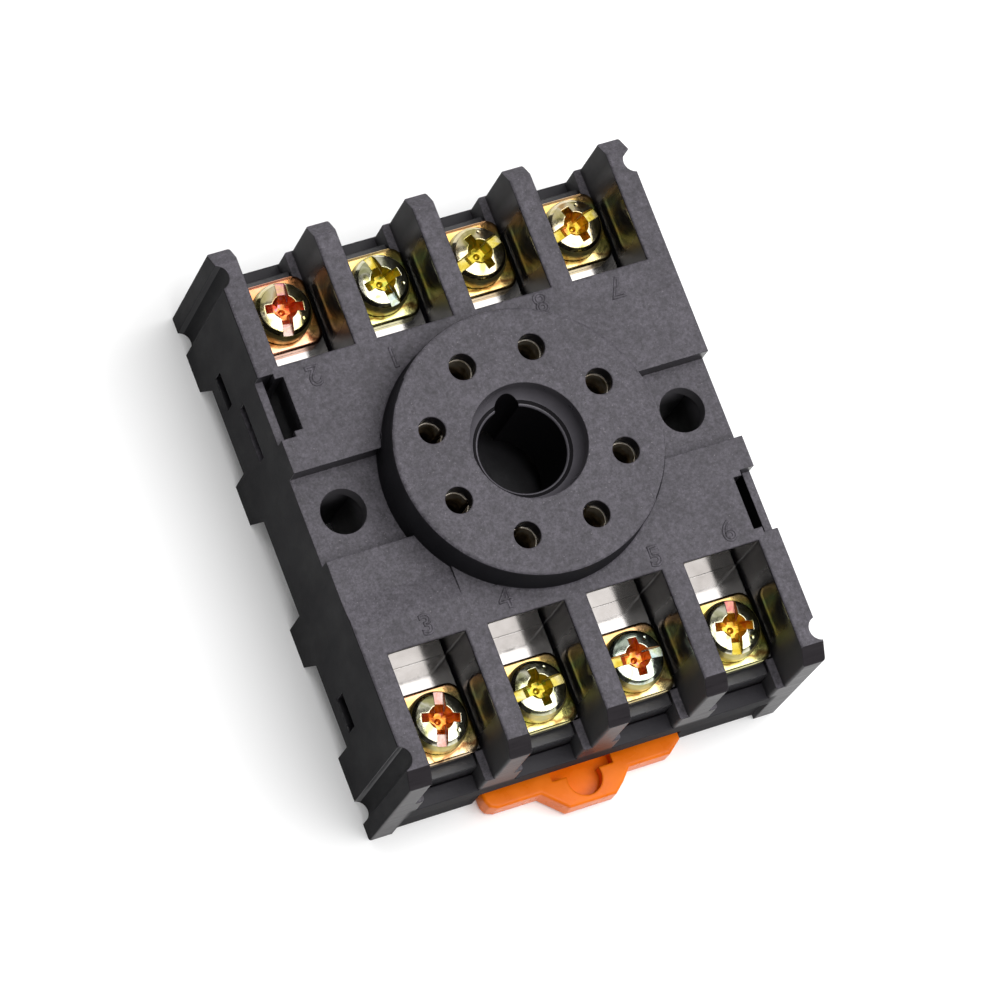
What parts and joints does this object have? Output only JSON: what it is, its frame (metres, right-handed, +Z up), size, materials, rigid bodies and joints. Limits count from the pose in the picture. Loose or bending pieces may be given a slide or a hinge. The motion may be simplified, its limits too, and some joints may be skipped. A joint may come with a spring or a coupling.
{
  "type": "relay socket",
  "caption": "Surface and rail mount socket for a round plug-in relay, with a raised pin ring, screw terminals in open wells at both ends and a sprung release tab.",
  "frame": {"origin": "on the axis of the key bore, in the plane of the feet", "axes": "+X along the rows of screws, +Y towards the keyway and away from the release tab, +Z up out of the key bore"},
  "size_m": [0.0402, 0.0545, 0.0211],
  "materials": {
    "housing_plastic": "satin black moulding with a fine texture on top",
    "base_plastic": "satin black moulding",
    "slider_plastic": "glossy, slightly translucent orange",
    "spring_steel": "drawn wire",
    "nickel_plate": "nickel-plated brass strip",
    "yellow_zinc_washer": "yellow-passivated zinc, iridescent",
    "yellow_zinc_screw": "yellow-passivated zinc, iridescent"
  },
  "bodies": {
    "housing": {"upper_housing": "housing_plastic", "lower_housing": "base_plastic", "slider_spring": "spring_steel", "contact_1": "nickel_plate", "contact_2": "nickel_plate", "contact_3": "nickel_plate", "contact_4": "nickel_plate", "contact_5": "nickel_plate", "contact_6": "nickel_plate", "contact_7": "nickel_plate", "contact_8": "nickel_plate"},
    "slider": {"rail_slider": "slider_plastic"},
    "washer_1": {"clamp_washer_1": "yellow_zinc_washer"},
    "screw_1": {"terminal_screw_1": "yellow_zinc_screw"},
    "washer_2": {"clamp_washer_2": "yellow_zinc_washer"},
    "screw_2": {"terminal_screw_2": "yellow_zinc_screw"},
    "washer_3": {"clamp_washer_3": "yellow_zinc_washer"},
    "screw_3": {"terminal_screw_3": "yellow_zinc_screw"},
    "washer_4": {"clamp_washer_4": "yellow_zinc_washer"},
    "screw_4": {"terminal_screw_4": "yellow_zinc_screw"},
    "washer_5": {"clamp_washer_5": "yellow_zinc_washer"},
    "screw_5": {"terminal_screw_5": "yellow_zinc_screw"},
    "washer_6": {"clamp_washer_6": "yellow_zinc_washer"},
    "screw_6": {"terminal_screw_6": "yellow_zinc_screw"},
    "washer_7": {"clamp_washer_7": "yellow_zinc_washer"},
    "screw_7": {"terminal_screw_7": "yellow_zinc_screw"},
    "washer_8": {"clamp_washer_8": "yellow_zinc_washer"},
    "screw_8": {"terminal_screw_8": "yellow_zinc_screw"}
  },
  "joints": [
    {"name": "slider_slide", "type": "slide", "parent": "housing", "child": "slider", "axis": [0, -1, 0], "range_m": [0, 0.0025], "stiffness_N_per_m": 1500, "springref_m": -0.0012, "deforming": ["slider_spring"]},
    {"name": "washer_1_lift", "type": "slide", "parent": "housing", "child": "washer_1", "axis": [0, 0, 1], "range_m": [0, 0.003]},
    {"name": "screw_1_turn", "type": "hinge", "parent": "washer_1", "child": "screw_1", "pos_m": [-0.00476, 0.01975, 0.0103], "axis": [0, 0, 1], "range_deg": [0, 1801]},
    {"name": "washer_2_lift", "type": "slide", "parent": "housing", "child": "washer_2", "axis": [0, 0, 1], "range_m": [0, 0.003]},
    {"name": "screw_2_turn", "type": "hinge", "parent": "washer_2", "child": "screw_2", "pos_m": [-0.01427, 0.01975, 0.0103], "axis": [0, 0, 1], "range_deg": [0, 1801]},
    {"name": "washer_3_lift", "type": "slide", "parent": "housing", "child": "washer_3", "axis": [0, 0, 1], "range_m": [0, 0.003]},
    {"name": "screw_3_turn", "type": "hinge", "parent": "washer_3", "child": "screw_3", "pos_m": [-0.01427, -0.01975, 0.0103], "axis": [0, 0, 1], "range_deg": [0, 1801]},
    {"name": "washer_4_lift", "type": "slide", "parent": "housing", "child": "washer_4", "axis": [0, 0, 1], "range_m": [0, 0.003]},
    {"name": "screw_4_turn", "type": "hinge", "parent": "washer_4", "child": "screw_4", "pos_m": [-0.00476, -0.01975, 0.0103], "axis": [0, 0, 1], "range_deg": [0, 1801]},
    {"name": "washer_5_lift", "type": "slide", "parent": "housing", "child": "washer_5", "axis": [0, 0, 1], "range_m": [0, 0.003]},
    {"name": "screw_5_turn", "type": "hinge", "parent": "washer_5", "child": "screw_5", "pos_m": [0.00476, -0.01975, 0.0103], "axis": [0, 0, 1], "range_deg": [0, 1801]},
    {"name": "washer_6_lift", "type": "slide", "parent": "housing", "child": "washer_6", "axis": [0, 0, 1], "range_m": [0, 0.003]},
    {"name": "screw_6_turn", "type": "hinge", "parent": "washer_6", "child": "screw_6", "pos_m": [0.01427, -0.01975, 0.0103], "axis": [0, 0, 1], "range_deg": [0, 1801]},
    {"name": "washer_7_lift", "type": "slide", "parent": "housing", "child": "washer_7", "axis": [0, 0, 1], "range_m": [0, 0.003]},
    {"name": "screw_7_turn", "type": "hinge", "parent": "washer_7", "child": "screw_7", "pos_m": [0.01427, 0.01975, 0.0103], "axis": [0, 0, 1], "range_deg": [0, 1801]},
    {"name": "washer_8_lift", "type": "slide", "parent": "housing", "child": "washer_8", "axis": [0, 0, 1], "range_m": [0, 0.003]},
    {"name": "screw_8_turn", "type": "hinge", "parent": "washer_8", "child": "screw_8", "pos_m": [0.00476, 0.01975, 0.0103], "axis": [0, 0, 1], "range_deg": [0, 1801]}
  ],
  "couplings": [
    {"joint": "screw_1_turn", "follows": "washer_1_lift", "rad_per_m": 10472},
    {"joint": "screw_2_turn", "follows": "washer_2_lift", "rad_per_m": 10472},
    {"joint": "screw_3_turn", "follows": "washer_3_lift", "rad_per_m": 10472},
    {"joint": "screw_4_turn", "follows": "washer_4_lift", "rad_per_m": 10472},
    {"joint": "screw_5_turn", "follows": "washer_5_lift", "rad_per_m": 10472},
    {"joint": "screw_6_turn", "follows": "washer_6_lift", "rad_per_m": 10472},
    {"joint": "screw_7_turn", "follows": "washer_7_lift", "rad_per_m": 10472},
    {"joint": "screw_8_turn", "follows": "washer_8_lift", "rad_per_m": 10472}
  ]
}
